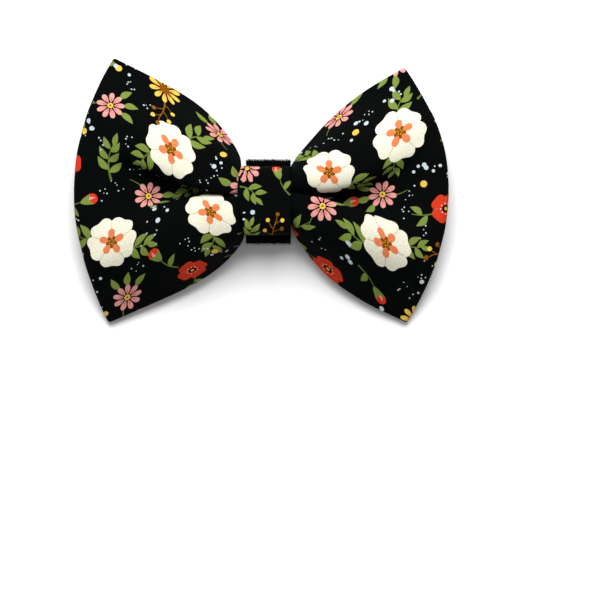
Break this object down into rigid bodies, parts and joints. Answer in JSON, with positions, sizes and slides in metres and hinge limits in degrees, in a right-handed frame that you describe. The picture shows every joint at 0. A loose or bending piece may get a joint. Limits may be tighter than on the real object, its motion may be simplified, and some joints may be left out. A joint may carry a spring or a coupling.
{
  "type": "slide-on pet bow tie",
  "caption": "Pinched cotton bow tie for a pet, printed with flowers on black, with a knot band and a hook-and-loop strap behind it that goes round a collar.",
  "frame": {"origin": "middle of the underside of the whole bow tie's box, as it lies on its back", "axes": "+X along the bow towards its right wing, +Y up the bow's height, +Z out of its front, away from the surface that it lies on"},
  "size_m": [0.1332, 0.094, 0.0249],
  "materials": {
    "bow_cotton": "matt plain-weave cotton, flower print on near-black",
    "band_cotton": "matt plain-weave cotton, flower print on near-black",
    "pile_tape": "black brushed-loop tape",
    "hook_tape": "black moulded-hook tape"
  },
  "bodies": {
    "root": {"bow_cloth": "bow_cotton", "knot_band": "band_cotton", "closure_strap": "pile_tape", "hook_patch": "hook_tape"}
  },
  "joints": []
}
